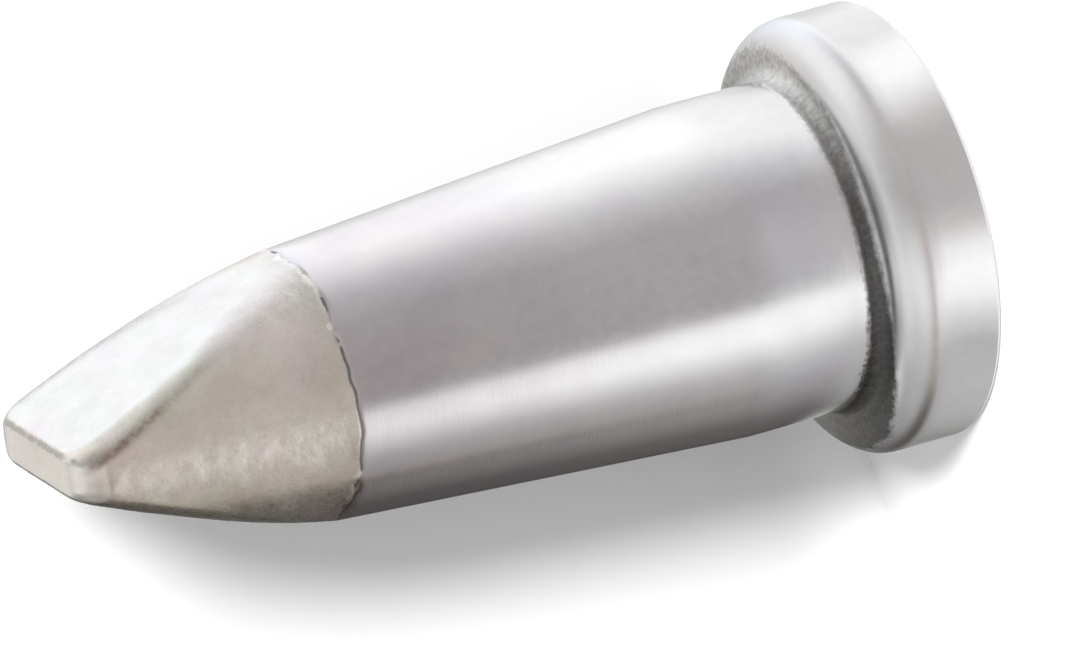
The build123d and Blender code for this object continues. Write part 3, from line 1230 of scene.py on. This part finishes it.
def make_world():
    """Soft strips of light round the upright part, in five belts from below the horizon
    to the top, and a round light on the far side. They are seen in the metal's shine
    alone, and all else has plain white light."""
    world = bpy.data.worlds.new("studio")
    bpy.context.scene.world = world
    world.use_nodes = True
    tree = world.node_tree
    tree.nodes.clear()
    direction = node(tree, "TexCoord").outputs["Generated"]
    way, turned, parts = way_round(tree, direction)
    height = maths(tree, "ARCSINE", parts["Z"])
    light = strip_colours(tree, way, LOWEST_LIGHT)
    for (lower, low_way, high_way), (low_edge, high_edge), stops in (
        (NO_STEP, LAND_BAND, LOW_LIGHT),
        (HORIZON_STEP, HORIZON, HIGH_LIGHT),
        (UPPER_STEP, UPPER_BAND, UPPER_LIGHT),
        (NO_STEP, TOP, HIGHEST_LIGHT),
    ):
        step = ramp(tree, way, radians(low_way), radians(high_way))
        level = maths(tree, "MULTIPLY_ADD", step, radians(lower), height)
        above = ramp(tree, level, radians(low_edge), radians(high_edge))
        light = mix(tree, above, light, strip_colours(tree, way, stops))
    middle = (0, -cos(END_LIGHT_HEIGHT), sin(END_LIGHT_HEIGHT))
    towards = node(tree, "VectorMath", {0: turned, 1: middle}, operation="DOT_PRODUCT")
    outer, inner = (cos(radians(edge)) for edge in END_LIGHT_EDGES)
    inside = ramp(tree, towards.outputs["Value"], outer, inner)
    light = mix(tree, inside, light, (*END_LIGHT, 1))
    studio = node(tree, "Background", {"Color": light})
    plain = node(tree, "Background", {"Color": WHITE})
    rays = node(tree, "LightPath")
    shown = node(tree, "MixShader", {
        0: rays.outputs["Is Glossy Ray"], 1: plain.outputs[0], 2: studio.outputs[0],
    })
    node(tree, "OutputWorld", {0: shown.outputs[0]})


def make_card():
    """The card of light under the tip, seen in the metal alone."""
    half = CARD_HALF_SIZE * MM
    low = CARD_Z * MM
    mesh = bpy.data.meshes.new("rim_card")
    mesh.from_pydata(
        [(-half, -half, low), (half, -half, low), (half, half, low), (-half, half, low)],
        [], [(0, 1, 2, 3)],
    )
    material = bpy.data.materials.new("rim_card_light")
    material.use_nodes = True
    tree = material.node_tree
    tree.nodes.clear()
    place = node(tree, "TexCoord").outputs["Object"]
    way, turned, _ = way_round(tree, place)
    flat = stretched(tree, turned, (1 / MM, 1 / MM, 0))
    out = node(tree, "VectorMath", {0: flat}, operation="LENGTH").outputs["Value"]
    light = strip_colours(tree, way, CARD_LIGHT)
    light = mix(tree, ramp(tree, out, *CARD_MIDDLE), light, CARD_MIDDLE_LIGHT)
    glow = node(tree, "Emission", {"Color": light})
    shown = ramp(tree, out, *CARD_FADE)
    clear = node(tree, "BsdfTransparent")
    surface = node(tree, "MixShader", {0: shown, 1: clear.outputs[0], 2: glow.outputs[0]})
    node(tree, "OutputMaterial", {0: surface.outputs[0]})
    mesh.materials.append(material)
    card = bpy.data.objects.new("rim_card", mesh)
    card.visible_camera = False
    card.visible_diffuse = False
    card.visible_shadow = False
    card.visible_transmission = False
    bpy.context.scene.collection.objects.link(card)


def make_sun(sheets):
    """The sun from the camera's side, which lights the sheets of paper alone."""
    right, up, back, _ = camera_axes()
    ray = -back + right * tan(radians(SUN_RIGHT)) - up * tan(radians(SUN_DOWN))
    data = bpy.data.lights.new("key_shadow", "SUN")
    data.energy = SUN_STRENGTH
    data.angle = radians(SUN_WIDTH)
    sun = bpy.data.objects.new("key_shadow", data)
    sun.rotation_euler = ray.to_track_quat("-Z", "Y").to_euler()
    lit = bpy.data.collections.new("key_shadow_falls_on")
    for sheet in sheets:
        lit.objects.link(sheet)
    bpy.context.scene.collection.objects.link(sun)
    sun.light_linking.receiver_collection = lit


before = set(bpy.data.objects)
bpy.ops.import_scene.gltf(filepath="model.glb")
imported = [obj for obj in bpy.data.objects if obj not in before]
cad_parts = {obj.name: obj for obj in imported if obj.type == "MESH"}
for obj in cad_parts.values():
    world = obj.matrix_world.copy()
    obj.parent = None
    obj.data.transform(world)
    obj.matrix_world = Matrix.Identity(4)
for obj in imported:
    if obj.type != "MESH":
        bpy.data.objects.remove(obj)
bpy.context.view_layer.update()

patches = patches_effect()
dirt = seam_effect()
marks = turning_effect()
tip = make_tip([
    bore_finish(patches, marks),
    plating_finish(patches, dirt, marks),
    tin_finish(patches, dirt),
])
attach(tip, "root")
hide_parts(NODE)

sheets = make_sheets()
make_card()
make_world()
make_sun(sheets)
make_camera()
bpy.context.scene.view_settings.view_transform = "Standard"
